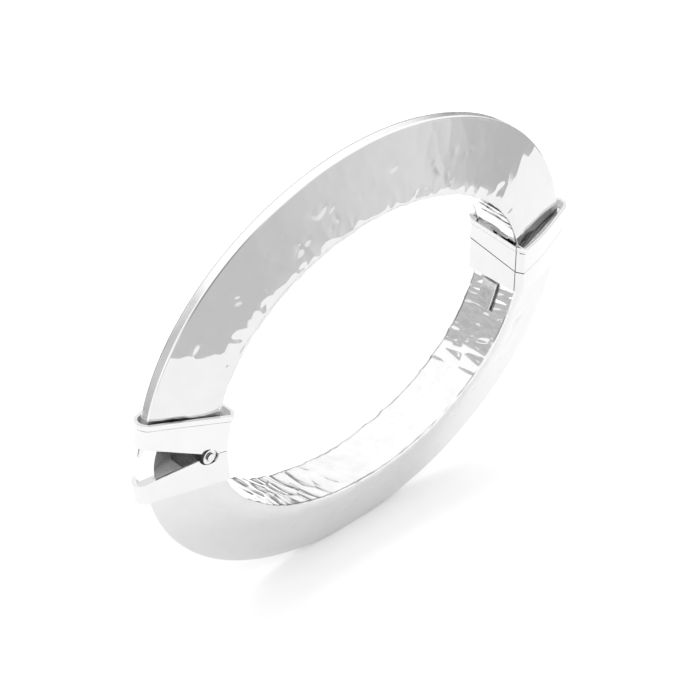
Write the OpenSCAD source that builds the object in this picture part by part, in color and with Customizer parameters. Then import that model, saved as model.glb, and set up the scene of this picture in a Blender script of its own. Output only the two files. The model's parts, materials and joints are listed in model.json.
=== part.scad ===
// Hinged oval bangle bracelet, hollow, of hammered sheet silver.
// Millimetres. The bangle stands on its rim: +Z is up, +X runs from the hinge
// to the clasp, and Y is the wrist's axis. The origin is the oval's centre.

/* [Ring] */
// Half the length of the wrist opening, hinge to clasp
inner_a = 30; // [28:0.5:33]
// Half the height of the wrist opening
inner_b = 23.3; // [22.5:0.1:25]
// Half the length over the outer rim
outer_a = 41.5; // [41:0.1:42]
// Half the height over the outer rim
outer_b = 34.4; // [34:0.1:36]
// How far the rim's oval sits towards the clasp
rim_x = 0.6; // [0.4:0.1:0.7]
// How far the rim's oval sits below the opening's
rim_drop = 0.4; // [0:0.1:0.6]
// Width of the band at its inner face
band_w = 9.1; // [8.5:0.1:9.3]
// Width of the flat outer rim
rim_w = 1.5; // [1.2:0.05:1.8]

/* [Sheet] */
// Thickness of the sheet that the tube is made of
sheet = 0.45; // [0.35:0.05:0.5]
// Stations along each half of the tube
stations = 64; // [32:4:72]

/* [Collars] */
// Half the width of the flat inner face of the hinge collars
hinge_flat = 4.5; // [4.4:0.1:4.7]
// Half the width of the flat inner face of the clasp collars
clasp_flat = 4.7; // [4.5:0.1:4.9]
// Half the width of the hinge collars past their bevelled inner corners
hinge_w = 5.4; // [5.3:0.1:5.6]
// Half the width of the clasp collars there
clasp_w = 5.7; // [5.4:0.1:5.8]
// How far out the bevelled corner reaches
collar_bevel = 0.8; // [0.6:0.1:1]
// How far the clasp collars' sides bulge
clasp_bulge = 0.4; // [0.2:0.1:0.5]
// Radius of a collar's rounded outer end
collar_end_r = 1.5; // [1.4:0.05:1.6]
// Wall of the collars
collar_wall = 0.4; // [0.35:0.05:0.45]
// How far the rolled lip stands out from its collar
lip_out = 0.3; // [0.2:0.05:0.4]
// Height of the rolled lip
lip_h = 0.85; // [0.6:0.05:1]

/* [Hinge] */
// Distance of the hinge pin from the centre
pin_u = 31.9; // [31.8:0.1:32.1]
// Radius of the hinge pin
pin_r = 0.45; // [0.4:0.05:0.5]
// Radius of the knuckles
knuckle_r = 1.2; // [1.1:0.05:1.25]
// Play between the pin and the middle knuckle
pin_play = 0.05; // [0.03:0.01:0.08]
// Radius of the pin's riveted heads
head_r = 0.62; // [0.56:0.02:0.7]

/* [Clasp] */
// Width of the tongue
tongue_w = 3.2; // [2.8:0.1:3.4]
// How far the tongue reaches into the lower half
tongue_len = 2.4; // [2:0.1:2.5]

/* [Hallmark plate] */
// Length of the blank plate
plate_l = 4.4; // [4:0.1:4.8]
// Width of the blank plate
plate_w = 2.8; // [2.4:0.1:3]

/* [Hidden] */
$fn = 48;
big = 60;                    // larger than the whole bangle in any direction

// In the section plane, u is the distance from the Y-Z plane: -X at the hinge, +X at the clasp.
// Each end is [u of its inner face, u of its tip, flat half width, half width, bulge], at pivot_z.
pivot_z = -1.85;             // height of the hinge pin
hinge_end = [28.6, 42.2, hinge_flat, hinge_w, 0];
clasp_end = [29, 43.5, clasp_flat, clasp_w, clasp_bulge];
lean_upper_hinge = -9;       // lean of each collar's axis, degrees, + is outwards at the top
lean_lower_hinge = 7;
lean_clasp = 0;

// Planes across the ends, each as [height at u = line_u, slope outwards, slope towards +Y].
line_u = 29.3;
upper_hinge_rim = [3.5, 0.18, 0];
upper_hinge_low = [-1.65, 0, 0];
lower_hinge_inner_top = [-1.75, 0, 0];
window_top = [-2.6, 0.416, 0];
lower_hinge_top = [-1.3, -0.225, 0];
lower_hinge_low = [-7.2, -0.035, 0];
seam = [0.45, -0.06, 0.13];
seam_gap = 0.06;
upper_clasp_rim = [3.6, -0.06, 0.02];
lower_clasp_low = [-4.1, -0.06, -0.07];
cap_t = 0.5;                 // thickness of the end caps
tube_in = 0.6;               // how far the tube reaches into a collar at its middle

// Hinge guard: a curved channel about the pin that closes the gap at the outer end.
guard_in = 7.5;
guard_out = 9.75;
guard_wall = 0.35;
guard_up = 31;
guard_down = 36;

silver = [0.86, 0.86, 0.87];
bright = [0.93, 0.93, 0.94];
dark = [0.72, 0.72, 0.74];

// ---- Tube -------------------------------------------------------------------------------

// Points of the two ovals in the X-Z plane, by their angle parameter.
function inner_at(t) = [inner_a * cos(t), inner_b * sin(t)];
function outer_at(t) = [rim_x + outer_a * cos(t), outer_b * sin(t) - rim_drop];

// Height of a point over a plane given as [height, slope], on whichever side of the bangle it is.
function over(p, plane) = p[1] - plane[0] - plane[1] * (abs(p[0]) - line_u);

// Angle between lo, below the plane, and hi, above it, where an oval crosses it, by bisection.
function oval_at(rim, t) = rim ? outer_at(t) : inner_at(t);
function crossing(rim, plane, lo, hi, n = 40) =
    let (mid = (lo + hi) / 2)
    n == 0 ? mid
    : over(oval_at(rim, mid), plane) > 0
        ? crossing(rim, plane, lo, mid, n - 1)
        : crossing(rim, plane, mid, hi, n - 1);

// Half width of the tube at depth d of a section that is deep in all.
function half_w(d, deep) = band_w / 2 + (rim_w / 2 - band_w / 2) * d / deep;

// Where the tube meets its end caps: level across the width, and clear inside the collars.
function level(plane, h) = [plane[0] + h, plane[1], 0];
upper_hinge_end = level(upper_hinge_rim, -tube_in);
upper_clasp_end = level(upper_clasp_rim, -tube_in);
lower_hinge_end = level(lower_hinge_low, tube_in);
lower_clasp_end = level(lower_clasp_low, tube_in);

// First and last angles of each half, [inner oval, outer oval].
function ends(plane, lo, hi) = [crossing(false, plane, lo, hi), crossing(true, plane, lo, hi)];
upper_from = ends(upper_clasp_end, -40, 40);
upper_to = ends(upper_hinge_end, 220, 140);
lower_from = ends(lower_hinge_end, 220, 140);
lower_to = ends(lower_clasp_end, 320, 400);

// One sheet of the tube, swept from one end to the other. corners(deep) gives its four section
// corners as [depth, y], in turn round the section.
module sweep(from, to, kind) {
    rows = [for (i = [0 : stations])
        let (s = i / stations,
             turn = from + (to - from) * s,
             p = inner_at(turn[0]),
             deep = norm(outer_at(turn[1]) - p),
             dir = (outer_at(turn[1]) - p) / deep)
        [for (c = corners(kind, deep)) [p[0] + dir[0] * c[0], c[1], p[1] + dir[1] * c[0]]]];
    points = [for (r = rows) each r];
    sides = [for (i = [0 : stations - 1], k = [0 : 3])
        let (a = 4 * i + k, b = 4 * i + (k + 1) % 4)
        each kind == "far" ? [[a, b, a + 4], [b, b + 4, a + 4]] : [[a, b, b + 4], [a, b + 4, a + 4]]];
    last = 4 * stations;
    caps = [[0, 3, 2, 1], [last, last + 1, last + 2, last + 3]];
    polyhedron(points, concat(sides, caps));
}

function corners(kind, deep) =
    let (r = deep - sheet)
    kind == "band" ? [[0, -half_w(0, deep)], [sheet, -half_w(sheet, deep)],
                      [sheet, half_w(sheet, deep)], [0, half_w(0, deep)]]
    : kind == "rim" ? [[r, -half_w(r, deep)], [deep, -half_w(deep, deep)],
                       [deep, half_w(deep, deep)], [r, half_w(r, deep)]]
    : kind == "near" ? [[sheet, -half_w(sheet, deep)], [r, -half_w(r, deep)],
                        [r, sheet - half_w(r, deep)], [sheet, sheet - half_w(sheet, deep)]]
    : [[sheet, half_w(sheet, deep) - sheet], [r, half_w(r, deep) - sheet],
       [r, half_w(r, deep)], [sheet, half_w(sheet, deep)]];

// ---- Ends -------------------------------------------------------------------------------

// Outline of a collar, counter-clockwise: flat inner face, bevelled corners, sides that may
// bulge, rounded outer end.
side_steps = 6;
function side_w(end, s) = end[3] + (collar_end_r - end[3]) * s + end[4] * 4 * s * (1 - s);
function side_point(end, sign, s) =
    [end[0] + collar_bevel + (end[1] - collar_end_r - end[0] - collar_bevel) * s,
     sign * side_w(end, s)];
function collar_outline(end) =
    let (turn = 75)
    concat([[end[0], end[2]], [end[0], -end[2]]],
           [for (i = [0 : side_steps - 1]) side_point(end, -1, i / side_steps)],
           [for (a = [-turn : 2 * turn / 14 : turn])
               [end[1] + collar_end_r * (cos(a) - 1), collar_end_r * sin(a)]],
           [for (i = [side_steps - 1 : -1 : 0]) side_point(end, 1, i / side_steps)]);

function unit(v) = v / norm(v);
function outward(p, q) = unit([q[1] - p[1], p[0] - q[0]]);

// The outline moved outwards by d, or inwards by -d, keeping every wall parallel.
function moved(pts, d) =
    let (n = len(pts))
    [for (i = [0 : n - 1])
        let (a = outward(pts[(i + n - 1) % n], pts[i]), b = outward(pts[i], pts[(i + 1) % n]))
        pts[i] + d * (a + b) / (1 + a * b)];

// Everything above, or below, a plane across the end.
module above(plane) {
    translate([line_u, 0, plane[0]])
        rotate([atan(plane[2]), -atan(plane[1]), 0])
            translate([-big / 2, -big / 2, 0]) cube(big);
}
module below(plane) {
    translate([line_u, 0, plane[0]])
        rotate([atan(plane[2]), -atan(plane[1]), 0])
            translate([-big / 2, -big / 2, -big]) cube(big);
}

// A prism with a collar's outline moved by d, along the collar's leaning axis.
module prism(end, lean, d) {
    translate([line_u, 0, pivot_z])
        rotate([0, lean, 0])
            translate([-line_u, 0, -big / 4])
                linear_extrude(big / 2) polygon(moved(collar_outline(end), d));
}

// What lies between two planes.
module between(low, high) {
    intersection() {
        children();
        above(low);
        below(high);
    }
}

function raised(plane, h) = [plane[0] + h, plane[1], plane[2]];

// The wall of a collar between two planes.
module collar_band(end, lean, low, high) {
    between(low, high) difference() {
        prism(end, lean, 0);
        prism(end, lean, -collar_wall);
    }
}

// The rolled lip on top of a collar.
module lip(end, lean, rim) {
    between(rim, raised(rim, lip_h)) difference() {
        prism(end, lean, lip_out);
        prism(end, lean, -collar_wall);
    }
}

// A plate that fills a collar between two planes, with a soldering gap round it.
solder_gap = 0.01;
module plug(end, lean, low, high) {
    between(low, high) prism(end, lean, -collar_wall - solder_gap);
}

// A cylinder on the hinge pin's axis, in the u frame.
module on_pin(r, y0, y1) {
    translate([pin_u, y0, pivot_z]) rotate([-90, 0, 0]) cylinder(r = r, h = y1 - y0);
}

module at_hinge() {
    mirror([1, 0, 0]) children();
}

// ---- Upper half -------------------------------------------------------------------------

module upper_near_side() {
    color(silver) sweep(upper_from, upper_to, "near");
}
module upper_far_side() {
    color(silver) sweep(upper_from, upper_to, "far");
}
module upper_inner_band() {
    color(silver) sweep(upper_from, upper_to, "band");
}
module upper_rim_strip() {
    color(bright) sweep(upper_from, upper_to, "rim");
}

// End cap in the upper hinge collar, cut short to let the guard slide into the tube.
cap_reach = 36.4;
module upper_hinge_cap() {
    color(dark) at_hinge() intersection() {
        plug(hinge_end, lean_upper_hinge, raised(upper_hinge_end, -cap_t), upper_hinge_end);
        translate([0, -big / 2, -big / 2]) cube([cap_reach, big, big]);
    }
}

module upper_clasp_cap() {
    color(dark) plug(clasp_end, lean_clasp, raised(upper_clasp_end, -cap_t), upper_clasp_end);
}

// Lower edge of the upper hinge collar: flat inside the pin, rising outside it to open the window.
module upper_hinge_collar() {
    color(bright) at_hinge() {
        difference() {
            collar_band(hinge_end, lean_upper_hinge, upper_hinge_low, upper_hinge_rim);
            difference() {
                translate([pin_u, -big / 2, -big / 2]) cube(big);
                above(window_top);
            }
            on_pin(knuckle_r, -big / 2, big / 2);
        }
        lip(hinge_end, lean_upper_hinge, upper_hinge_rim);
    }
}

module upper_clasp_collar() {
    color(bright) {
        collar_band(clasp_end, lean_clasp, raised(seam, seam_gap / 2), upper_clasp_rim);
        lip(clasp_end, lean_clasp, upper_clasp_rim);
    }
}

// Knuckles: two on the upper half, one between them on the lower half.
knuckle_out = 4.58;
knuckle_in = 2.7;
middle_half = 2.6;
web_t = 0.9;

module outer_knuckle(side) {
    at_hinge() difference() {
        union() {
            if (side < 0) on_pin(knuckle_r, -knuckle_out, -knuckle_in);
            else on_pin(knuckle_r, knuckle_in, knuckle_out);
            knuckle_arm(side);
        }
        on_pin(pin_r, -big / 2, big / 2);
    }
}

// Arm that ties an outer knuckle to the upper cap, inside the collar wall.
module knuckle_arm(side) {
    y0 = side < 0 ? -knuckle_in - web_t : knuckle_in;
    between(upper_hinge_low, raised(upper_hinge_end, -cap_t))
        translate([pin_u - knuckle_r, y0, -big / 4]) cube([1.5 * knuckle_r, web_t, big / 2]);
}

module hinge_knuckle_near() {
    color(bright) outer_knuckle(-1);
}
module hinge_knuckle_far() {
    color(bright) outer_knuckle(1);
}

// The pin, riveted over at both ends.
head_h = 0.28;
module hinge_pin() {
    color(bright) at_hinge() {
        on_pin(pin_r, -knuckle_out, knuckle_out);
        on_pin(head_r, -knuckle_out - head_h, -knuckle_out);
        on_pin(head_r, knuckle_out, knuckle_out + head_h);
    }
}

// Plate that closes the mouth of the upper clasp collar and carries the tongue.
plate_in = 0.15;             // how far the mouths' plates sit back from the seam
plate_t = 0.5;
face_low = raised(seam, seam_gap / 2 + plate_in);
module clasp_face_plate() {
    color(silver) plug(clasp_end, lean_clasp, face_low, raised(face_low, plate_t));
}

// Folded tongue: a stiff leaf with a rounded fold, and a spring leaf that doubles back.
tongue_u = 34.2;
leaf_t = 0.45;
fold_r = 0.55;
spring_t = 0.3;
spring_short = 0.7;          // how far the spring leaf stops short of the plate
tongue_low = face_low[0] - 0.3 - tongue_len;
module clasp_tongue() {
    color(bright) intersection() {
        difference() {
            union() {
                translate([tongue_u, -tongue_w / 2, tongue_low]) cube([leaf_t, tongue_w, big / 2]);
                translate([tongue_u + fold_r, -tongue_w / 2, tongue_low])
                    rotate([-90, 0, 0]) cylinder(r = fold_r, h = tongue_w);
            }
            translate([tongue_u + leaf_t, -big / 2, tongue_low]) cube(big);
        }
        below(face_low);
    }
}

module tongue_spring() {
    color(bright) translate([tongue_u + 2 * fold_r - spring_t, -tongue_w / 2, tongue_low])
        cube([spring_t, tongue_w, tongue_len - spring_short]);
}

// ---- Lower half -------------------------------------------------------------------------

module lower_near_side() {
    color(silver) sweep(lower_from, lower_to, "near");
}
module lower_far_side() {
    color(silver) sweep(lower_from, lower_to, "far");
}
module lower_inner_band() {
    color(silver) sweep(lower_from, lower_to, "band");
}
module lower_rim_strip() {
    color(bright) sweep(lower_from, lower_to, "rim");
}

module lower_hinge_cap() {
    color(dark) at_hinge()
        plug(hinge_end, lean_lower_hinge, lower_hinge_end, raised(lower_hinge_end, cap_t));
}

module lower_clasp_cap() {
    color(dark) plug(clasp_end, lean_clasp, lower_clasp_end, raised(lower_clasp_end, cap_t));
}

knuckle_play = 0.25;
module lower_hinge_collar() {
    color(bright) at_hinge() difference() {
        collar_band(hinge_end, lean_lower_hinge, lower_hinge_low, lower_hinge_top);
        on_pin(knuckle_r + knuckle_play, -big / 2, big / 2);
        difference() {
            translate([0, -big / 2, -big / 2]) cube([pin_u, big, big]);
            below(lower_hinge_inner_top);
        }
    }
}

module lower_clasp_collar() {
    color(bright) collar_band(clasp_end, lean_clasp, lower_clasp_low, raised(seam, -seam_gap / 2));
}

// Middle knuckle on its web, which stands on the lower cap.
module hinge_knuckle_middle() {
    color(bright) at_hinge() difference() {
        union() {
            on_pin(knuckle_r, -middle_half, middle_half);
            intersection() {
                translate([pin_u - web_t, -middle_half, -big / 2])
                    cube([web_t * 2, 2 * middle_half, big / 2 + pivot_z]);
                above(raised(lower_hinge_end, cap_t));
            }
        }
        on_pin(pin_r + pin_play, -big / 2, big / 2);
    }
}

// Half width of the guard at radius r from the pin, and its channel section.
guard_w = 1.32;
guard_end_r = 0.8;
module guard_section(inset) {
    polygon(concat([[guard_in - (inset > 0 ? 1 : 0), -guard_w + inset]],
        [for (a = [-75 : 15 : 75])
            [guard_out - guard_end_r + (guard_end_r - inset) * cos(a), (guard_end_r - inset) * sin(a)]],
        [[guard_in - (inset > 0 ? 1 : 0), guard_w - inset]]));
}

module hinge_guard() {
    color(silver) at_hinge() intersection() {
        translate([pin_u, 0, pivot_z]) rotate([90, 0, 0]) rotate([0, 0, -guard_down])
            rotate_extrude(angle = guard_up + guard_down, $fn = 96) difference() {
                guard_section(0);
                guard_section(guard_wall);
            }
        above(raised(lower_hinge_end, cap_t));
    }
}

// Plate in the mouth of the lower clasp collar, with the slot that takes the tongue.
slot_play = 0.25;
catch_top = raised(seam, -seam_gap / 2 - plate_in);
module catch_plate() {
    color(silver) difference() {
        plug(clasp_end, lean_clasp, raised(catch_top, -plate_t), catch_top);
        translate([tongue_u - slot_play, -tongue_w / 2 - slot_play, -big / 2])
            cube([2 * (fold_r + slot_play), tongue_w + 2 * slot_play, big]);
    }
}

// Blank plate soldered to the inner band below the clasp, curved to lie on it.
plate_turn = 343.2;          // where the plate's middle is on the inner oval
plate_y = 0.4;
plate_thick = 0.35;
plate_sink = 0.05;           // how far the solder joint lets it into the band
plate_edge = 0.12;
module hallmark_plate() {
    at = inner_at(plate_turn);
    bend_r = pow(norm([inner_a * sin(plate_turn), inner_b * cos(plate_turn)]), 3) / inner_a / inner_b;
    out = unit([at[0] / inner_a / inner_a, at[1] / inner_b / inner_b]);
    half_turn = plate_l / 2 / bend_r * 180 / PI;
    top = bend_r - plate_thick;
    side = plate_w / 2;
    color(silver) translate([at[0] - bend_r * out[0], plate_y, at[1] - bend_r * out[1]])
        rotate([90, half_turn - atan2(out[1], out[0]), 0])
            rotate_extrude(angle = 2 * half_turn, $fn = 240)
                polygon([[top, plate_edge - side], [top + plate_edge, -side], [bend_r + plate_sink, -side],
                         [bend_r + plate_sink, side], [top + plate_edge, side], [top, side - plate_edge]]);
}

upper_near_side();
upper_far_side();
upper_inner_band();
upper_rim_strip();
upper_hinge_cap();
upper_clasp_cap();
upper_hinge_collar();
upper_clasp_collar();
hinge_knuckle_near();
hinge_knuckle_far();
hinge_pin();
clasp_face_plate();
clasp_tongue();
tongue_spring();
lower_near_side();
lower_far_side();
lower_inner_band();
lower_rim_strip();
lower_hinge_cap();
lower_clasp_cap();
lower_hinge_collar();
lower_clasp_collar();
hinge_knuckle_middle();
hinge_guard();
catch_plate();
hallmark_plate();
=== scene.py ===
import json
import math

import bmesh
import bpy
import numpy as np
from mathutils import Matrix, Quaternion, Vector

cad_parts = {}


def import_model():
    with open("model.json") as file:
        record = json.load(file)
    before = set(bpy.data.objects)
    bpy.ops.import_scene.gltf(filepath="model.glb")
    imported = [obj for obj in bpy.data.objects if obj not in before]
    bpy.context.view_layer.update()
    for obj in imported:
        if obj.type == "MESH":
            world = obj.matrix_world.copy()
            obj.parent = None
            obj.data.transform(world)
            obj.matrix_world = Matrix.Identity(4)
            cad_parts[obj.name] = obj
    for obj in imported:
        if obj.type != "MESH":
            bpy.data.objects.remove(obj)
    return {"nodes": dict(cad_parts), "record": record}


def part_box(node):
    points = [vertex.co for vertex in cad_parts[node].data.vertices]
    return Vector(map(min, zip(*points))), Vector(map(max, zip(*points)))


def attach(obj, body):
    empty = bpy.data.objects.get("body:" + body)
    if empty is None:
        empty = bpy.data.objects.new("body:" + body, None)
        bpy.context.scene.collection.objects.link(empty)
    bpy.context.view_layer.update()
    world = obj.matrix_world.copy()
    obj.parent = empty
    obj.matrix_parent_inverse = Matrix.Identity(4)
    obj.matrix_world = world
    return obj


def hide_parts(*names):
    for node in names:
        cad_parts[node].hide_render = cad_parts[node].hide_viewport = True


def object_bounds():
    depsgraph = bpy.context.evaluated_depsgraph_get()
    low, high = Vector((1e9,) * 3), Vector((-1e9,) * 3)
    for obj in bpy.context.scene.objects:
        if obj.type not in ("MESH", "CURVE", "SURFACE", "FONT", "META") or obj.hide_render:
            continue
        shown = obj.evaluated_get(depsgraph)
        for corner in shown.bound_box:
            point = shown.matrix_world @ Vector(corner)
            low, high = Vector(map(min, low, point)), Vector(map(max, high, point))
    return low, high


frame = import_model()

CAD_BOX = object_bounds()
NODES = frame["nodes"]
BODY_OF = {n: b for b, ns in frame["record"]["behaviour"]["bodies"].items() for n in ns}
MM = 0.001               # one millimetre, in metres
UM = 1e-6                # one micrometre, in metres
SEED = 11


def new_object(name, data):
    o = bpy.data.objects.new(name, data)
    bpy.context.scene.collection.objects.link(o)
    return o


# ---- Materials ---------------------------------------------------------------------------------

def add(nodes, kind, **values):
    """A shader node with some of its settings and unlinked inputs filled in."""
    n = nodes.new(kind)
    for key, value in values.items():
        if key in n.inputs:
            n.inputs[key].default_value = value
        else:
            setattr(n, key, value)
    return n


def dark_line(nodes, link, where, line):
    """1 away from a plane and 0 on it, for a dark line: at a joint or corner, or painted shade under a
    collar's lip. line is (normal, offset, half width, wander).
    It may have a second normal and offset: then only the side below that plane has the line. In mm."""
    normal, offset, width, wander = line[:4]
    dot = add(nodes, "ShaderNodeVectorMath", operation="DOT_PRODUCT")
    link(where.outputs["Object"], dot.inputs[0])
    dot.inputs[1].default_value = normal
    wave = add(nodes, "ShaderNodeTexNoise", Scale=1 / (1.5 * MM), Detail=2.0)
    link(where.outputs["Object"], wave.inputs["Vector"])
    sway = add(nodes, "ShaderNodeMath", operation="MULTIPLY_ADD")
    link(wave.outputs["Fac"], sway.inputs[0])
    sway.inputs[1].default_value = wander * MM * 2
    sway.inputs[2].default_value = -(offset + wander) * MM
    off = add(nodes, "ShaderNodeMath", operation="ADD")
    link(dot.outputs["Value"], off.inputs[0])
    link(sway.outputs[0], off.inputs[1])
    size = add(nodes, "ShaderNodeMath", operation="ABSOLUTE")
    link(off.outputs[0], size.inputs[0])
    fall = nodes.new("ShaderNodeMapRange")
    fall.inputs["From Min"].default_value = width * MM * 0.6
    fall.inputs["From Max"].default_value = width * MM * 1.3
    link(size.outputs[0], fall.inputs["Value"])
    if len(line) == 4:
        return fall.outputs["Result"]
    side_normal, side_offset = line[4:]
    side = add(nodes, "ShaderNodeVectorMath", operation="DOT_PRODUCT")
    link(where.outputs["Object"], side.inputs[0])
    side.inputs[1].default_value = side_normal
    beyond = add(nodes, "ShaderNodeMath", operation="GREATER_THAN")
    link(side.outputs["Value"], beyond.inputs[0])
    beyond.inputs[1].default_value = side_offset * MM
    both = add(nodes, "ShaderNodeMath", operation="MAXIMUM")
    link(fall.outputs["Result"], both.inputs[0])
    link(beyond.outputs[0], both.inputs[1])
    return both.outputs[0]


def metal(name, light, dark, rough, stain_size=2.5, bump_um=0.6, scratch_um=0.25, specks=0.0, lines=(),
          tarnish_and_shade=False, metallic=1.0):
    """Silver: colour and roughness vary softly, over a fine grain and hairline scratches. light and dark are
    the ends of its colour, rough the ends of its roughness, and specks how dark its pits are. lines are its
    dark lines, at joints and corners or painted shade under a collar's lip. With its flag set, the mesh's own
    darkening layer darkens it too: tarnished joints, and painted shade at the collars' mouths and by the
    hallmark plate."""
    m = bpy.data.materials.new(name)
    m.use_nodes = True
    nt = m.node_tree
    nodes, link = nt.nodes, nt.links.new
    nodes.clear()
    out = nodes.new("ShaderNodeOutputMaterial")
    bsdf = add(nodes, "ShaderNodeBsdfPrincipled", Metallic=metallic)
    link(bsdf.outputs[0], out.inputs[0])
    where = nodes.new("ShaderNodeTexCoord")

    def multiplied(colour, factor):
        mul = add(nodes, "ShaderNodeMix", data_type="RGBA", blend_type="MULTIPLY")
        mul.inputs["Factor"].default_value = 1.0
        link(colour, mul.inputs["A"])
        link(factor, mul.inputs["B"])
        return mul.outputs["Result"]

    stain = add(nodes, "ShaderNodeTexNoise", Scale=1 / (stain_size * MM), Detail=4.0, Roughness=0.6)
    link(where.outputs["Object"], stain.inputs["Vector"])
    colour = nodes.new("ShaderNodeValToRGB")
    colour.color_ramp.elements[0].position = 0.32
    colour.color_ramp.elements[0].color = (*dark, 1)
    colour.color_ramp.elements[1].position = 0.62
    colour.color_ramp.elements[1].color = (*light, 1)
    link(stain.outputs["Fac"], colour.inputs["Fac"])
    shade = colour.outputs["Color"]
    if specks:
        pits = add(nodes, "ShaderNodeTexNoise", Scale=1 / (0.35 * MM), Detail=2.0)
        link(where.outputs["Object"], pits.inputs["Vector"])
        pit_ramp = nodes.new("ShaderNodeValToRGB")
        pit_ramp.color_ramp.elements[0].position = 0.30
        pit_ramp.color_ramp.elements[0].color = (1 - specks, 1 - specks, 1 - specks, 1)
        pit_ramp.color_ramp.elements[1].position = 0.38
        pit_ramp.color_ramp.elements[1].color = (1, 1, 1, 1)
        link(pits.outputs["Fac"], pit_ramp.inputs["Fac"])
        shade = multiplied(shade, pit_ramp.outputs["Color"])
    marks = [dark_line(nodes, link, where, line) for line in lines]
    # The mesh's darkening layer holds tarnished joints and painted shade: the collars' mouths and the strip
    # by the hallmark plate.
    if tarnish_and_shade:
        kept = add(nodes, "ShaderNodeAttribute", attribute_name="clean")
        marks.append(kept.outputs["Fac"])
    for mark in marks:
        darker = nodes.new("ShaderNodeMapRange")
        darker.inputs["To Min"].default_value = 0.10
        darker.inputs["To Max"].default_value = 1.0
        link(mark, darker.inputs["Value"])
        shade = multiplied(shade, darker.outputs["Result"])
    link(shade, bsdf.inputs["Base Color"])

    smear = add(nodes, "ShaderNodeTexNoise", Scale=1 / (1.1 * MM), Detail=5.0, Roughness=0.65)
    link(where.outputs["Object"], smear.inputs["Vector"])
    spread = add(nodes, "ShaderNodeMapRange")
    spread.inputs["From Min"].default_value = 0.3
    spread.inputs["From Max"].default_value = 0.7
    spread.inputs["To Min"].default_value = rough[0]
    spread.inputs["To Max"].default_value = rough[1]
    link(smear.outputs["Fac"], spread.inputs["Value"])
    link(spread.outputs["Result"], bsdf.inputs["Roughness"])

    grain = add(nodes, "ShaderNodeTexNoise", Scale=1 / (0.12 * MM), Detail=3.0)
    link(where.outputs["Object"], grain.inputs["Vector"])
    bump = add(nodes, "ShaderNodeBump", Strength=1.0, Distance=bump_um * UM)
    link(grain.outputs["Fac"], bump.inputs["Height"])
    turned = add(nodes, "ShaderNodeMapping")
    turned.inputs["Rotation"].default_value = (0.5, 0.9, 0.3)
    turned.inputs["Scale"].default_value = (1 / (0.05 * MM), 1 / (2.5 * MM), 1 / (2.5 * MM))
    link(where.outputs["Object"], turned.inputs["Vector"])
    hairs = add(nodes, "ShaderNodeTexNoise", Scale=1.0, Detail=1.0)
    link(turned.outputs["Vector"], hairs.inputs["Vector"])
    cuts = nodes.new("ShaderNodeMapRange")
    cuts.inputs["From Min"].default_value = 0.62
    cuts.inputs["From Max"].default_value = 0.70
    link(hairs.outputs["Fac"], cuts.inputs["Value"])
    scratch = add(nodes, "ShaderNodeBump", Strength=1.0, Distance=scratch_um * UM, invert=True)
    link(cuts.outputs["Result"], scratch.inputs["Height"])
    link(bump.outputs["Normal"], scratch.inputs["Normal"])
    link(scratch.outputs["Normal"], bsdf.inputs["Normal"])
    return m


def grey(value):
    """A silver grey, a touch cooler than neutral."""
    return (value, value, value * 1.006)


MAT = {
    # Painted shade: the sides' silver is a darker copy of the band's, toning down the bright table they
    # mirror.
    "hammered_side": metal("hammered_side", grey(0.70), grey(0.68), (0.03, 0.07), tarnish_and_shade=True),
    "hammered_inner": metal("hammered_inner", grey(0.86), grey(0.80), (0.03, 0.08), tarnish_and_shade=True),
    "bright_rim": metal("bright_rim", grey(0.87), grey(0.85), (0.17, 0.26), tarnish_and_shade=True),
    "hinge_pin": metal("hinge_pin", grey(0.76), grey(0.68), (0.05, 0.12), 0.5, specks=0.1),
    "knuckle": metal("knuckle", grey(0.76), grey(0.68), (0.05, 0.12), 0.7, specks=0.1),
    "guard": metal("guard", grey(0.88), grey(0.85), (0.03, 0.06)),
    "tongue": metal("tongue", grey(0.78), grey(0.66), (0.14, 0.24), 1.0, specks=0.15),
    "hallmark_plate": metal("hallmark_plate", grey(0.72), grey(0.60), (0.16, 0.28), 0.6, bump_um=1.2,
                            specks=0.2),
    "inner_plate": metal("inner_plate", grey(0.97), grey(0.80), (0.30, 0.45), 1.2, specks=0.2,
                         metallic=0.1),
    "recess": metal("recess", grey(0.97), grey(0.76), (0.25, 0.45), 1.5, specks=0.25, metallic=0.1),
    "arm": metal("arm", grey(0.24), grey(0.12), (0.25, 0.4), 1.2, specks=0.2, metallic=0.3),
    # Painted shade: the hallmark plate's near side is darkened for the shadowed gap beside it.
    "plate_edge": metal("plate_edge", grey(0.42), grey(0.24), (0.25, 0.4), 1.2, specks=0.2, metallic=0.3),
    # Painted shade: a near-black silver for spots that lie in shade, under the collars' lips and round the
    # knuckles and pin.
    "shade_crease": metal("shade_crease", grey(0.10), grey(0.04), (0.35, 0.55), 0.5),
}


# ---- Hammered tubes ----------------------------------------------------------------------------

def mesh_points(node):
    """The distinct vertices of a CAD node, in millimetres."""
    co = np.array([v.co for v in NODES[node].data.vertices]) / MM
    return np.unique(np.round(co, 3), axis=0)


def oval_through(points):
    """Centre and half sizes of the oval through points of the X-Z plane."""
    x, z = points.T
    p, q, r, s = np.linalg.lstsq(np.stack([x * x, z * z, x, z], 1), np.ones(len(x)), rcond=None)[0]
    cx, cz = -r / 2 / p, -s / 2 / q
    k = 1 + p * cx * cx + q * cz * cz
    return np.array([cx, cz]), np.array([math.sqrt(k / p), math.sqrt(k / q)])


def oval_run(points, lower):
    """The oval through one half's outline, as a function from 0..1 along it to its X-Z points."""
    centre, half = oval_through(points)
    t = np.arctan2(*((points - centre) / half).T[::-1])
    if lower:
        t = np.mod(t, 2 * math.pi)
    lo, hi = t.min(), t.max()
    return lambda s: centre + half * np.stack([np.cos(lo + (hi - lo) * s), np.sin(lo + (hi - lo) * s)], -1)


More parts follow.
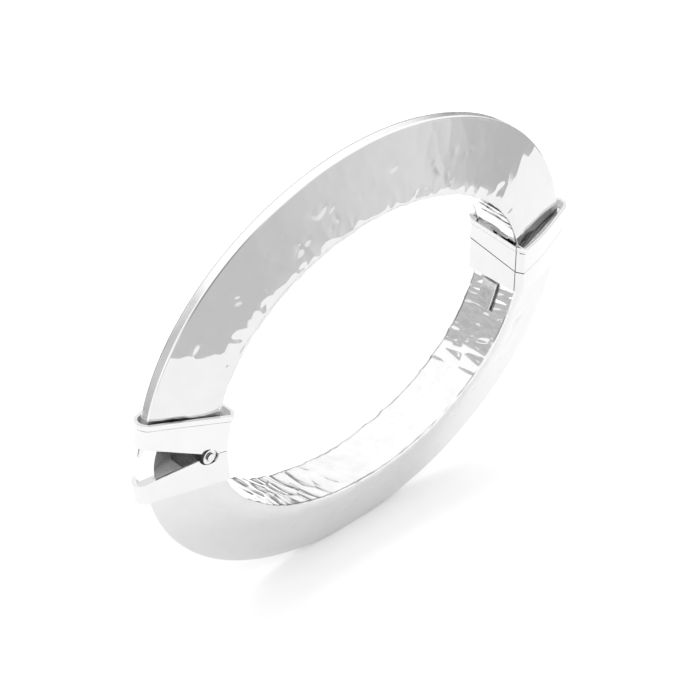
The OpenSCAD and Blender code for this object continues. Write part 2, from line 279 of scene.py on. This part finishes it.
def rounded(corners, radii, steps=7):
    """A closed outline with its corners rounded."""
    out = []
    n = len(corners)
    for i, (c, r) in enumerate(zip(corners, radii)):
        a, b = corners[i - 1] - c, corners[(i + 1) % n] - c
        a, b = a / np.linalg.norm(a), b / np.linalg.norm(b)
        half = math.acos(np.clip(a @ b, -1, 1)) / 2
        mid = c + (a + b) / np.linalg.norm(a + b) * r / math.sin(half)
        p, q = c + a * r / math.tan(half) - mid, c + b * r / math.tan(half) - mid
        full = math.acos(np.clip(p @ q / r / r, -1, 1))
        for k in range(steps + 1):
            w = k / steps
            out.append(mid + (math.sin((1 - w) * full) * p + math.sin(w * full) * q) / math.sin(full))
    return np.array(out)


def along(outline, count):
    """count evenly spaced points of a closed outline, their outward normals and its length."""
    loop = np.vstack([outline, outline[:1]])
    run = np.concatenate([[0], np.cumsum(np.linalg.norm(np.diff(loop, axis=0), axis=1))])
    at = np.linspace(0, run[-1], count, endpoint=False)
    pts = np.stack([np.interp(at, run, loop[:, k]) for k in (0, 1)], 1)
    tangent = np.roll(pts, -1, 0) - np.roll(pts, 1, 0)
    normal = np.stack([-tangent[:, 1], tangent[:, 0]], 1)
    return pts, normal / np.linalg.norm(normal, axis=1)[:, None], run[-1]


def skin_mesh(name, outer, inner, face_slots, mats):
    """A closed tube wall: an outer and an inner skin, joined at both ends. outer and inner are
    [station, round, xyz] arrays, in mm, and face_slots gives each outer face of a station its place in mats.
    The other faces take the last of mats."""
    nu, nv = outer.shape[:2]
    mu = inner.shape[0]
    verts = np.concatenate([outer.reshape(-1, 3), inner.reshape(-1, 3)]) * MM
    j = np.arange(nv)
    k = (j + 1) % nv

    def grid(rows, base, flip):
        i = np.arange(rows - 1)[:, None]
        here, after = base + i * nv, base + (i + 1) * nv
        quad = np.stack([here + j, here + k, after + k, after + j], -1).reshape(-1, 4)
        return quad[:, ::-1] if flip else quad

    base = nu * nv
    start = np.stack([j, base + j, base + k, k], -1)
    last, last_in = (nu - 1) * nv, base + (mu - 1) * nv
    end = np.stack([last + j, last + k, last_in + k, last_in + j], -1)
    faces = np.concatenate([grid(nu, 0, False), grid(mu, base, True), start, end])
    covered = (nu - 1) * nv
    slots = np.concatenate([np.tile(face_slots, nu - 1), np.full(len(faces) - covered, len(mats) - 1)])
    me = bpy.data.meshes.new(name)
    me.vertices.add(len(verts))
    me.vertices.foreach_set("co", verts.astype(np.float32).ravel())
    me.loops.add(faces.size)
    me.loops.foreach_set("vertex_index", faces.astype(np.int32).ravel())
    me.polygons.add(len(faces))
    me.polygons.foreach_set("loop_start", np.arange(0, faces.size, 4, dtype=np.int32))
    me.polygons.foreach_set("material_index", slots.astype(np.int32))
    me.polygons.foreach_set("use_smooth", np.ones(len(faces), bool))
    me.update(calc_edges=True)
    bm = bmesh.new()
    bm.from_mesh(me)
    bmesh.ops.recalc_face_normals(bm, faces=bm.faces)
    bm.to_mesh(me)
    bm.free()
    for m in mats:
        me.materials.append(m)
    return new_object(name, me)


STEP = 0.2               # spacing of the skin's points, mm
SHEET = 0.45             # thickness of the sheet, mm
SWELL = 0.1              # how far the skin's inner edge starts outside the CAD's, before the blows, mm
BLOW = (2.3, 4.4)        # spacing of the hammer's blows along the ring and across it, mm
CORNER = (0.18, 0.45)    # radius of the tube's corners at the rim and at the inner edge, mm
HOLLOW_CORNER = (0.06, 0.35)    # the same, of the hollow inside, mm
PUSH = (-0.42, -0.002)   # the most and the least that the skin is pushed in, mm
RIPPLES = 14             # number of waves in the broad unevenness
RIPPLE = 0.03            # depth of the broad unevenness, mm
DENTS = 190              # number of lone dents on a half
SIDE_MARKS = 0.12        # depth of the hammer marks on the sides, over that on the band
RIM_MARKS = 0.03         # the same, on the rim
BEND_RADIUS = 12.5       # of the sides beside the band, mm
PLATE_GAP_SHADE = 0.25            # grey of the painted shade in the gap beside the hallmark plate, from 0 (black) to 1 (untouched)


def hammered(s, v, rate, length, run, rng):
    """Depth of the hammer marks, below zero, at distances s along the ring and v round the section.
    Each blow is a shallow bowl, and neighbouring bowls meet in soft ridges."""
    ns, nv = int(run / BLOW[0]) + 4, max(3, round(length / BLOW[1]))
    cs = (np.arange(ns)[:, None] - 1.5 + rng.uniform(-0.4, 0.4, (ns, nv))) * BLOW[0]
    cs += np.where(np.arange(nv) % 2, BLOW[0] / 2, 0)
    cv = (np.arange(nv)[None] + rng.uniform(-0.4, 0.4, (ns, nv))) * length / nv
    cs, cv = cs.ravel(), cv.ravel()
    deep = rng.uniform(0.09, 0.17, cs.size)    # mm
    bend = rng.uniform(6.0, 11.0, cs.size)     # radius of the bowl, mm
    lean = rng.uniform(-0.1, 0.45, cs.size)    # how far it slants over the band
    ridge = 0.006                              # softness of the ridges, mm
    out = np.empty((len(s), len(v)))
    for i, at in enumerate(s):
        near = np.abs(cs - at) < 3.4 * BLOW[0]
        dv = np.mod(v[:, None] - cv[near] + length / 2, length) - length / 2
        ds = (at - cs[near]) * rate[i][:, None] + lean[near] * dv
        z = (ds ** 2 + (0.5 * dv) ** 2) / (2 * bend[near]) - deep[near]
        low = z.min(1, keepdims=True)
        out[i] = low[:, 0] - ridge * np.log(np.exp(-(z - low) / ridge).sum(1))
    return out


def ripple(s, v, length, rng):
    """Broad, soft unevenness, within about +-1."""
    out = np.zeros((len(s), len(v)))
    for _ in range(RIPPLES):
        wave = rng.uniform(8.0, 22.0)
        turns = rng.integers(-3, 4)
        phase = s[:, None] / wave + turns * v[None] / length
        out += np.sin(2 * math.pi * phase + rng.uniform(0, 2 * math.pi))
    return out / 4.0


def dents(s, v, length, rng):
    """Small lone dents, below zero, each a lengthened bowl."""
    out = np.zeros((len(s), len(v)))
    for _ in range(DENTS):
        at, across = rng.uniform(s[0], s[-1]), rng.uniform(0, length)
        r, turn = rng.uniform(0.45, 1.2), rng.uniform(0, math.pi)
        deep = r * rng.uniform(0.06, 0.12)
        dv = np.mod(v - across + length / 2, length) - length / 2
        rows, cols = np.abs(s - at) < 4 * r, np.abs(dv) < 4 * r
        a, b = np.meshgrid(s[rows] - at, dv[cols], indexing="ij")
        x = a * math.cos(turn) + b * math.sin(turn)
        y = (b * math.cos(turn) - a * math.sin(turn)) / 0.55
        out[np.ix_(rows, cols)] -= deep * np.exp(-(x * x + y * y) / (r * r))
    return out


class Tube:
    """One half of the ring as a skin over its CAD sheets, in mm. Its arrays are [station along the ring,
    place round the section]. A section runs from the inner band out to the rim, and its facing is the share
    of its outward normal in that direction: -1 on the band, about 0 on the sides and 1 on the rim."""

    def __init__(self, half, seed):
        self.lower = half == "lower"
        rng = np.random.default_rng(SEED + seed)
        band, rim = mesh_points(half + "_inner_band"), mesh_points(half + "_rim_strip")
        edge, self.narrow = np.abs(band[:, 1]).max(), np.abs(rim[:, 1]).min()
        self.wide = edge + SWELL
        inner_at = oval_run(band[band[:, 1] > edge - 0.002][:, [0, 2]], self.lower)
        outer_at = oval_run(rim[(rim[:, 1] > 0) & (rim[:, 1] < self.narrow + 0.002)][:, [0, 2]], self.lower)

        fine = np.linspace(0, 1, 2001)
        middle = (inner_at(fine) + outer_at(fine)) / 2
        run = np.concatenate([[0], np.cumsum(np.linalg.norm(np.diff(middle, axis=0), axis=1))])
        self.s = np.linspace(0, run[-1], int(run[-1] / STEP))
        share = np.interp(self.s, run, fine)
        self.band, self.rim = inner_at(share), outer_at(share)
        self.deep = np.linalg.norm(self.rim - self.band, axis=1)
        self.way = (self.rim - self.band) / self.deep[:, None]

        radii = (CORNER[0], CORNER[1], CORNER[1], CORNER[0])
        self.length = self.section(self.deep.mean(), 0, radii, 50)[2]
        self.count = int(self.length / STEP)
        v = np.arange(self.count) * self.length / self.count
        sections = [self.section(d, 0, radii, self.count) for d in self.deep]
        self.flat = np.array([points for points, _, _ in sections])
        self.normal = np.array([normals for _, normals, _ in sections])
        self.from_band, self.y, self.facing = self.flat[:, :, 0], self.flat[:, :, 1], self.normal[:, :, 0]
        self.marks = hammered(self.s, v, self.stretch(), self.length, run[-1], rng)
        self.soft = ripple(self.s, v, self.length, rng)
        self.dents = dents(self.s, v, self.length, rng)
        self.skin = self.place(self.flat + self.normal * self.relief()[:, :, None], np.arange(len(self.s)))

    def section(self, deep, inset, radii, count):
        """count points round a section of this depth, set in by inset, with their normals, and its length."""
        slope = (self.wide - self.narrow) * inset / deep
        w_in = self.wide - inset * 1.05 - slope
        w_out = self.narrow - inset * 1.05 + slope
        corners = np.array([[deep - inset, -w_out], [inset, -w_in], [inset, w_in], [deep - inset, w_out]])
        return along(rounded(corners, radii), count)

    def stretch(self):
        """The length along the ring at each point, over that at the middle of the section's depth."""
        def rate(line):
            return np.linalg.norm(np.gradient(line, axis=0), axis=1)
        rates = np.stack([rate(self.band), rate(self.rim)], 1) / rate((self.band + self.rim) / 2)[:, None]
        depth = self.from_band / self.deep[:, None]
        return rates[:, :1] * (1 - depth) + rates[:, 1:] * depth

    def place(self, points, rows):
        """Points of the sections at these stations, in the bangle's own X, Y and Z."""
        xz = self.band[rows][:, None] + self.way[rows][:, None] * points[:, :, :1]
        return np.stack([xz[:, :, 0], points[:, :, 1], xz[:, :, 1]], -1)

    def relief(self):
        """How far the skin moves out, always below zero: hammer marks on the band that fade out over its
        edges, broad ripples, sides that bend in towards the band, and lone dents on them."""
        x = self.band[:, :1]
        reach = 1.7 + 1.1 * np.clip(self.soft, -1, 1)
        side = SIDE_MARKS + (1 - SIDE_MARKS) * np.exp(-(self.from_band / reach) ** 2)
        on_band = 1 + 0.95 * np.clip((-6 - x) / 12, 0, 1) if self.lower else 1.0    # deepest by the hinge
        strength = np.where(self.facing < -0.25, on_band, side)
        strength = np.where(self.facing > 0.6, RIM_MARKS, strength)
        broad = np.where(self.facing > 0.6, 0.1, 1.1 if self.lower else 0.6)
        push = self.marks * strength + RIPPLE * broad * (self.soft - 1)
        bent = np.interp(x, [-25, 5, 25], [3.7, 2.7, 2.5])    # how far from the band the bend starts
        bending = np.clip(bent - self.from_band, 0, None) ** 2 / (2 * BEND_RADIUS)
        push -= np.where(self.facing < -0.5, 0, bending)
        dented = (np.abs(self.facing) < 0.5) * np.clip((7.5 - self.from_band) / 2, 0, 1)
        return np.clip(push + self.dents * dented, *PUSH)

    def edge_tarnish(self):
        """The wavering, broken dark line where the band meets the sides: 1 off it, and less on it."""
        x = self.band[:, :1]
        width = np.interp(x, [-16, -8], [0.17, 0.1]) if self.lower else 0.15
        off = np.abs(np.abs(self.y) - (self.wide - CORNER[1] - 0.10 + self.marks)) / width
        patchy = np.clip(0.75 - 0.5 * np.sin(self.s / 2.1 + np.sin(self.s / 0.9)), 0.3, 1)[:, None]
        if self.lower:
            near = np.interp(x, [-12, 12, 28], [0.1, 0.8, 1.4])
        else:
            near = np.interp(x, [6, 16, 24], [1.4, 0.4, 0.15])
        level = np.clip(np.where(self.y > 0, 0.5, near) * patchy, 0, 1)
        return np.where(self.facing < -0.7, level + (1 - level) * np.clip(off - 0.5, 0, 1), 1.0)

    def rim_tarnish(self):
        """The dark line between the rim strip and the near side, towards the hinge: 1 off it."""
        bearing = np.degrees(np.arctan2(self.rim[:, 1], self.rim[:, 0]))[:, None]
        off = np.where(self.y < 0, np.abs(self.facing - 0.6), 9.0)
        joint = np.exp(-((bearing - 137) / 14) ** 4) * (off <= off.min(1, keepdims=True))
        return 1 - 0.95 * joint

    def mouth_shade(self, node, start, span, high):
        """Painted shade where the near side goes into a collar, for the dark gap under its lip, broken by
        lighter streaks: 1 off it.
        It is an arch that rises high mm above the collar. start and span are shares of the way from rim to
        band."""
        up, top = flat_face(node, 1)
        above = self.skin @ np.array(up) - top
        across = np.clip((self.deep[:, None] - self.from_band) / self.deep[:, None], 0, 1)
        arch = high * np.sin(np.pi * np.clip((across - start) / span, 0, 1)) * (1 + 0.35 * self.soft)
        x, y = self.skin[:, :, 0], self.skin[:, :, 1]
        there = (x < 0 if "hinge" in node else x > 0) & (y < 0) & (np.abs(self.facing) < 0.7) & (above > -1.5)
        fade = np.clip((arch - above) / 0.3, 0, 1) * there
        level = 0.04 + 0.40 * np.clip(np.sin(above * 7 + across * 17 + 2 * self.soft), 0, 1) ** 2
        return 1 - fade * (1 - level)

    def beside_plate(self):
        """Where painted shade darkens the band along the hallmark plate's near edge, for the gap there."""
        plate = mesh_points("hallmark_plate")
        turn, here = np.arctan2(plate[:, 2], plate[:, 0]), np.arctan2(self.skin[:, :, 2], self.skin[:, :, 0])
        y, edge = self.skin[:, :, 1], plate[:, 1].min()
        strip = (y > edge - 0.4) & (y < edge + 0.1) & (self.facing < -0.7)
        return strip & (here > turn.min()) & (here < turn.max())

    def clean(self):
        """1 where the skin is untouched, down to 0 where it is black: tarnished joints, and painted shade at
        the collars' mouths and beside the hallmark plate.
        """
        clean = self.edge_tarnish()
        if self.lower:
            # Painted shade along the hallmark plate's near edge.
            return np.where(self.beside_plate(), PLATE_GAP_SHADE, clean)
        clean *= self.rim_tarnish()
        # Painted shade at the mouths of the two upper collars.
        clean *= self.mouth_shade("upper_hinge_collar", 0.0, 0.62, 0.72)
        clean *= self.mouth_shade("upper_clasp_collar", 0.60, 0.36, 0.8)
        return clean


def tube(half, seed):
    """The hammered tube of one half, which stands for its four CAD sheets."""
    t = Tube(half, seed)
    rows = np.linspace(0, len(t.s) - 1, 90).astype(int)
    radii = (HOLLOW_CORNER[0], HOLLOW_CORNER[1], HOLLOW_CORNER[1], HOLLOW_CORNER[0])
    inside = t.place(np.array([t.section(t.deep[i], SHEET, radii, t.count)[0] for i in rows]), rows)
    slots = np.where(t.facing[0] < -0.5, 0, np.where(t.facing[0] > 0.75, 2, 1))
    mats = [MAT["hammered_inner"], MAT["hammered_side"], MAT["bright_rim"], MAT["recess"]]
    o = skin_mesh(half + "_tube", t.skin, inside, slots, mats)
    # A layer that darkens the skin: tarnished joints, and painted shade at the collars' mouths and beside the
    # hallmark plate.
    layer = o.data.attributes.new("clean", "FLOAT", "POINT")
    clean = np.concatenate([t.clean().ravel(), np.full(inside.size // 3, 0.5)])
    layer.data.foreach_set("value", clean.astype(np.float32))
    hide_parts(*(f"{half}_{part}" for part in ("near_side", "far_side", "inner_band", "rim_strip")))
    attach(o, half + "_half")


# ---- Finished pieces made from the CAD shapes --------------------------------------------------

FLAT = math.radians(0.6)       # faces this near to one plane are one face
SHARP = math.radians(28)       # an edge sharper than this is rounded
CREASED = math.radians(40)     # an edge sharper than this, after rounding, keeps a hard edge in its shading
LIP = 0.85                     # height of the collars' lip, mm
FLARE = 0.2                    # how far a lip's mouth is opened, mm
GUARD_X = -38.0                # X of the middle of the hinge guard, mm
TO_GUARD = 0.53                # how far the lower hinge collar's top edge is thickened, up to the guard, mm
NEAR_CORNER = -4.62            # Y of the near corner of the clasp collars' inner face, mm
KNUCKLE_REACH = 1.45           # how far the knuckles' round sides are from the pin's axis at most, mm


def cleaned(bm, apart, crushed=0.0):
    """Joins vertices nearer than apart, drops faces narrower than crushed, joins the faces of one plane."""
    bmesh.ops.remove_doubles(bm, verts=bm.verts, dist=apart)
    if crushed:
        bmesh.ops.dissolve_degenerate(bm, dist=crushed, edges=bm.edges)
    bmesh.ops.dissolve_limit(bm, angle_limit=FLAT, verts=bm.verts, edges=bm.edges)
    bmesh.ops.recalc_face_normals(bm, faces=bm.faces)


def smoothed(me):
    """A mesh in mm is taken to metres and shaded smooth, apart from its creases."""
    bm = bmesh.new()
    bm.from_mesh(me)
    bmesh.ops.scale(bm, vec=(MM,) * 3, verts=bm.verts)
    for f in bm.faces:
        f.smooth = True
    for e in bm.edges:
        e.smooth = not (len(e.link_faces) == 2 and e.calc_face_angle(0) > CREASED)
    bm.to_mesh(me)
    bm.free()


def dressed(node, width, mats, pick=None, wide=None, wide_by=0.0, segments=3, reshape=None):
    """The CAD shape with its sharp edges rounded by width, in mm. wide(edge) picks the edges that are rounded
    by wide_by instead. pick(face centre, normal) gives a face's place in mats. reshape(vertex) may move a
    vertex."""
    bm = bmesh.new()
    bm.from_mesh(NODES[node].data)
    bmesh.ops.scale(bm, vec=(1 / MM,) * 3, verts=bm.verts)
    cleaned(bm, 0.002)
    if reshape:
        for v in bm.verts:
            reshape(v)
        cleaned(bm, 0.02, 0.01)
    if pick:
        for f in bm.faces:
            f.material_index = pick(f.calc_center_median(), f.normal)
    if wide:
        layer = bm.edges.layers.float.new("bevel_weight_edge")
        for e in bm.edges:
            if len(e.link_faces) == 2 and e.calc_face_angle(0) > SHARP:
                sliver = min(f.calc_area() / f.calc_perimeter() for f in e.link_faces) < 0.04
                tight = sliver or not e.is_convex
                e[layer] = 1.0 if wide(e) else (0.02 if tight else width / wide_by)
    me = bpy.data.meshes.new(node + "_finished")
    for m in mats:
        me.materials.append(m)
    bm.to_mesh(me)
    bm.free()
    o = new_object(node + "_finished", me)
    bevel = o.modifiers.new("round", "BEVEL")
    bevel.segments = segments
    bevel.use_clamp_overlap = True
    bevel.limit_method = "WEIGHT" if wide else "ANGLE"
    bevel.angle_limit = SHARP
    bevel.width = wide_by if wide else width
    done = bpy.data.meshes.new_from_object(o.evaluated_get(bpy.context.evaluated_depsgraph_get()))
    o.modifiers.clear()
    o.data = done
    smoothed(done)
    done.name = node + "_finished"
    weighted = o.modifiers.new("flat_faces", "WEIGHTED_NORMAL")
    weighted.keep_sharp = True
    weighted.weight = 100
    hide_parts(node)
    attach(o, BODY_OF[node])


def flat_face(node, up):
    """The normal, and the offset in mm, of a CAD node's highest flat face that looks up (1) or down (-1)."""
    groups = {}
    for f in NODES[node].data.polygons:
        if f.normal.z * up > 0.8:
            offset = f.normal.dot(f.center) / MM
            key = tuple(round(c, 2) for c in f.normal) + (round(offset, 1),)
            area, normal, total = groups.get(key, (0.0, Vector(), 0.0))
            groups[key] = (area + f.area, normal + f.area * f.normal, total + f.area * offset)
    key = max((k for k in groups if groups[k][0] > 1e-7), key=lambda k: k[3])
    area, normal, total = groups[key]
    return normal.normalized(), total / area


def inward(p, normal, middle):
    """Above 0 where a point's normal looks in towards the upright line at X = middle, Y = 0."""
    return (middle - p.x) * normal.x - p.y * normal.y


def inner_walls(v, middle):
    """The mean normal of a vertex's upright walls that look in towards the line at X = middle, or None."""
    walls = [f.normal for f in v.link_faces if abs(f.normal.z) < 0.75 and inward(v.co, f.normal, middle) > 0]
    return sum(walls, Vector()).normalized() if walls else None


def collar(node, lip, lines, reshape=None):
    """A polished collar with matt inside walls and these dark lines at its joints. A lip is a round bead with
    a dark line of painted shade under it and a near-black underside, also painted shade, and its mouth is
    flared a little."""
    low, high = (np.array(c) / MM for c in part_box(node))
    middle = (low[0] + high[0]) / 2
    at_clasp = low[0] > 0
    up, top = flat_face(node, 1)
    if lip:
        beyond = -low[0] - 0.6 if at_clasp else 1e3
        # Painted shade: a dark line under the lip's bead, where its overhang shades the collar.
        lines += ((tuple(up), top - LIP - 0.12, 0.11, 0.03, (-1, 0, 0), beyond),)
    # Painted shade: the collars' silver is a darker copy of the band's, toning down the bright table they
    # mirror.
    outside = metal(node + "_shaded_silver", grey(0.745), grey(0.73), (0.02, 0.055), scratch_um=0.12, lines=lines)

    def pick(c, n):
        if abs(n.z) < 0.75 and inward(c, n, middle) > 0.05:
            return 1
        # painted shade: the lip's underside takes the near-black material, where the bead's overhang shades
        # it
        if lip and n.z < -0.75 and -1.2 < up.dot(c) - top < -0.6:
            return 2
        return 0

    def flared(v):
        if reshape:
            reshape(v)
        walls = inner_walls(v, middle)
        if walls and abs(up.dot(v.co) - top) < 0.03:
            v.co -= FLARE * walls

    def bead(e):
        on_lip = all(-1.0 < up.dot(v.co) - top < 0.05 for v in e.verts)
        return on_lip and e.is_convex and not (at_clasp and any(v.co.x <= low[0] + 0.45 for v in e.verts))

    mats = [outside, MAT["recess"], MAT["shade_crease"]]
    if lip:
        dressed(node, 0.08, mats, pick, bead, 0.22, segments=5, reshape=flared)
    else:
        dressed(node, 0.08, mats, pick, reshape=reshape)


def clasp_collars():
    """Both have a dark line at their joint and at the inner face's near corner. That face has no lip."""
    wall_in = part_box("lower_clasp_collar")[0][0] / MM
    under, low = flat_face("upper_clasp_collar", -1)
    joint = (tuple(-under), -low - 0.03, 0.085, 0.0, (1, 0, 0), wall_in + 1.0)
    corner = ((0, 1, 0), NEAR_CORNER, 0.07, 0.03, (1, 0, 0), wall_in + 0.35)

    def flush(v):
        v.co.x = max(v.co.x, wall_in - 0.04)
    collar("upper_clasp_collar", True, (joint, corner), flush)
    collar("lower_clasp_collar", False, (joint, corner))


def hinge_collars():
    """The lower one's top edge is thickened inwards, up to the guard."""
    up, top = flat_face("lower_hinge_collar", 1)
    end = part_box("lower_hinge_collar")[0][0] / MM

    def to_guard(v):
        walls = inner_walls(v, GUARD_X)
        if walls and abs(up.dot(v.co) - top) < 0.05 and v.co.x < end + 3.2:
            v.co += TO_GUARD * walls
    collar("lower_hinge_collar", False, (), to_guard)
    collar("upper_hinge_collar", True, ())


def on_knuckle(c, n):
    """Bright ends, a round side darkened as painted shade for the dark gap round it, and matt arms inside the
    collar.
    """
    if abs(n.y) > 0.8:
        return 1
    pin = (Vector(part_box("hinge_pin")[0]) + Vector(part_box("hinge_pin")[1])) / 2 / MM
    if math.hypot(c.x - pin.x, c.z - pin.z) < KNUCKLE_REACH:
        return 0
    return 3 if n.x < -0.5 else 2


def hinge():
    """The three knuckles, the pin and the guard."""
    # Painted shade: the knuckles' and the pin's round sides take the near-black material, for the dark gap
    # round them.
    for node in ("hinge_knuckle_near", "hinge_knuckle_far", "hinge_knuckle_middle"):
        dressed(node, 0.1, [MAT["shade_crease"], MAT["knuckle"], MAT["recess"], MAT["arm"]], on_knuckle)
    dressed("hinge_pin", 0.07, [MAT["shade_crease"], MAT["hinge_pin"]], lambda c, n: 1 if abs(n.y) > 0.8 else 0)
    dressed("hinge_guard", 0.06, [MAT["guard"]])


def small_pieces():
    """The hallmark plate, its near side darkened as painted shade, and the plates, caps and tongue of the
    inside.
    """
    dressed("hallmark_plate", 0.05, [MAT["hallmark_plate"], MAT["plate_edge"]],
            lambda c, n: 1 if n.y < -0.8 else 0)
    for node in ("clasp_face_plate", "catch_plate", "upper_hinge_cap", "upper_clasp_cap", "lower_hinge_cap",
                 "lower_clasp_cap"):
        dressed(node, 0.05, [MAT["inner_plate"]])
    for node in ("clasp_tongue", "tongue_spring"):
        dressed(node, 0.05, [MAT["tongue"]])


# ---- Stage -------------------------------------------------------------------------------------

TABLE = 0.158            # radius of the table, metres


def floor():
    """A pale round table under the bangle."""
    bm = bmesh.new()
    bmesh.ops.create_circle(bm, cap_ends=True, segments=128, radius=TABLE)
    bmesh.ops.translate(bm, verts=bm.verts, vec=(0, 0, CAD_BOX[0][2]))
    me = bpy.data.meshes.new("floor")
    bm.to_mesh(me)
    bm.free()
    m = bpy.data.materials.new("floor_white")
    m.use_nodes = True
    bsdf = m.node_tree.nodes["Principled BSDF"]
    bsdf.inputs["Base Color"].default_value = (0.935, 0.935, 0.935, 1)
    bsdf.inputs["Roughness"].default_value = 0.9
    bsdf.inputs["Specular IOR Level"].default_value = 0.0
    me.materials.append(m)
    new_object("floor", me)


GAIN = 1.3               # the sky's grey levels go up to this, and its colours only to 1
WALL_EDGE = 1            # half the width of a wall's soft edge, degrees


def world():
    """A white studio. The silver mirrors a pale room beyond the table's edge, dark low down behind, with a
    broken grey wall at the back left and a darker one at the back right. A plain sky lights the table, and
    what the camera sees past it is white."""
    w = bpy.data.worlds.new("studio")
    bpy.context.scene.world = w
    w.use_nodes = True
    nodes, link = w.node_tree.nodes, w.node_tree.links.new
    nodes.clear()
    where = nodes.new("ShaderNodeTexCoord")
    way = nodes.new("ShaderNodeSeparateXYZ")
    link(where.outputs["Generated"], way.inputs[0])

    def steps(value, stops):
        """Grey levels along a value from -1 to 1."""
        part = add(nodes, "ShaderNodeMapRange")
        part.inputs["From Min"].default_value = -1.0
        link(value, part.inputs["Value"])
        ramp = nodes.new("ShaderNodeValToRGB")
        elements = ramp.color_ramp.elements
        for e, (at, level) in zip((elements[0], elements[1]), (stops[0], stops[-1])):
            e.position, e.color = (at + 1) / 2, (level / GAIN,) * 3 + (1,)
        for at, level in stops[1:-1]:
            elements.new((at + 1) / 2).color = (level / GAIN,) * 3 + (1,)
        link(part.outputs["Result"], ramp.inputs["Fac"])
        return ramp.outputs["Color"]

    def ramp_to(value, low, high):
        """0 below low, 1 above high."""
        r = nodes.new("ShaderNodeMapRange")
        r.inputs["From Min"].default_value = low
        r.inputs["From Max"].default_value = high
        link(value, r.inputs["Value"])
        return r.outputs["Result"]

    def between(a, b, share):
        both = add(nodes, "ShaderNodeMix", data_type="RGBA")
        link(share, both.inputs["Factor"])
        link(a, both.inputs["A"])
        link(b, both.inputs["B"])
        return both.outputs["Result"]

    def wall(centre, radius):
        """1 within radius degrees of a direction."""
        dot = add(nodes, "ShaderNodeVectorMath", operation="DOT_PRODUCT")
        dot.inputs[1].default_value = Vector(centre).normalized()
        link(where.outputs["Generated"], dot.inputs[0])
        outer, inner = (math.cos(math.radians(radius + d)) for d in (WALL_EDGE, -WALL_EDGE))
        return ramp_to(dot.outputs["Value"], outer, inner)

    def noise(scale, detail):
        n = add(nodes, "ShaderNodeTexNoise", Scale=scale, Detail=detail)
        link(where.outputs["Generated"], n.inputs["Vector"])
        return n.outputs["Fac"]

    def holes():
        """Gaps in the left wall, and none in one level strip of it."""
        level = add(nodes, "ShaderNodeMath", operation="SUBTRACT")
        link(way.outputs["Y"], level.inputs[0])
        level.inputs[1].default_value = 0.575
        apart = add(nodes, "ShaderNodeMath", operation="ABSOLUTE")
        link(level.outputs[0], apart.inputs[0])
        gaps = add(nodes, "ShaderNodeMath", operation="MULTIPLY")
        link(ramp_to(noise(5.0, 1.0), 0.57, 0.60), gaps.inputs[0])
        link(ramp_to(apart.outputs[0], 0.035, 0.045), gaps.inputs[1])
        return gaps.outputs[0]

    def background(colour, strength):
        b = add(nodes, "ShaderNodeBackground", Strength=strength)
        if colour:
            link(colour, b.inputs["Color"])
        else:
            b.inputs["Color"].default_value = (1, 1, 1, 1)
        return b.outputs[0]

    def for_rays(kind, a, b):
        """Shader b for one kind of ray, and a for the others."""
        both = nodes.new("ShaderNodeMixShader")
        link(rays.outputs[kind], both.inputs["Fac"])
        link(a, both.inputs[1])
        link(b, both.inputs[2])
        return both.outputs[0]

    low = steps(way.outputs["X"], [(-1.0, 1.1), (-0.20, 1.05), (-0.04, 0.77), (0.28, 0.77), (0.42, 0.84),
                                   (0.52, 0.91), (0.70, 1.00), (0.77, 0.79), (0.83, 0.68), (1.0, 0.65)])
    above = steps(way.outputs["Z"], [(-1.0, 1.0), (0.0, 1.12), (1.0, 1.25)])
    front = between(low, above, ramp_to(way.outputs["Z"], -0.02, 0.04))
    back = steps(way.outputs["Z"], [(-1.0, 0.22), (-0.10, 0.27), (-0.02, 0.45), (0.03, 1.0), (0.5, 1.15),
                                    (1.0, 1.25)])
    sky = between(front, back, ramp_to(way.outputs["Y"], 0.30, 0.40))
    cloud = noise(11.0, 2.0)
    left = steps(cloud, [(-1.0, 0.55), (0.35, 0.55), (0.6, 0.64), (1.0, 0.66)])
    left = between(left, sky, holes())
    right = steps(cloud, [(-1.0, 0.16), (0.40, 0.20), (0.47, 0.44), (0.56, 0.62), (0.62, 1.0), (1.0, 1.0)])
    sky = between(sky, left, wall((-0.72, 0.60, 0.20), 26))
    sky = between(sky, right, wall((0.82, 0.54, -0.02), 16))
    lit = steps(way.outputs["Z"], [(-1.0, 0.35), (0.0, 0.35), (0.4, 0.45), (0.7, 0.8), (1.0, 1.3)])

    rays = nodes.new("ShaderNodeLightPath")
    seen = for_rays("Is Diffuse Ray", background(sky, GAIN), background(lit, 2.05))
    seen = for_rays("Is Camera Ray", seen, background(None, 1.05))
    out = nodes.new("ShaderNodeOutputWorld")
    link(seen, out.inputs["Surface"])


def lamp():
    """A weak, broad light from above and behind, for the table's soft shadow."""
    data = bpy.data.lights.new("top", "AREA")
    data.shape = "DISK"
    data.size = 0.35
    data.energy = 0.4
    o = new_object("top", data)
    o.location = (-0.1, 0.25, 0.6)
    o.rotation_euler = (Vector((0, 0, -0.03)) - o.location).to_track_quat("-Z", "Y").to_euler()
    o.visible_glossy = False
    o.visible_camera = False


VIEW_WIDTH = 0.175                           # the picture's width over its distance: a long lens
CAMERA_AT = (-0.32287, -0.32329, 0.35313)    # metres
CAMERA_LOOK = (0.5575, 0.5588, -0.6140)
CAMERA_ROLL = math.radians(1.70)


def camera():
    """A long lens above the near left, turned by a touch of roll."""
    data = bpy.data.cameras.new("camera")
    data.sensor_width = 36
    data.lens = data.sensor_width / VIEW_WIDTH
    data.clip_start = 0.02
    o = new_object("camera", data)
    o.location = CAMERA_AT
    o.rotation_mode = "QUATERNION"
    look = Vector(CAMERA_LOOK).to_track_quat("-Z", "Y")
    o.rotation_quaternion = look @ Quaternion((0, 0, 1), CAMERA_ROLL)
    bpy.context.scene.camera = o


tube("upper", 0)
tube("lower", 1)
clasp_collars()
hinge_collars()
hinge()
small_pieces()
floor()
world()
lamp()
camera()
bpy.context.scene.view_settings.view_transform = "Standard"
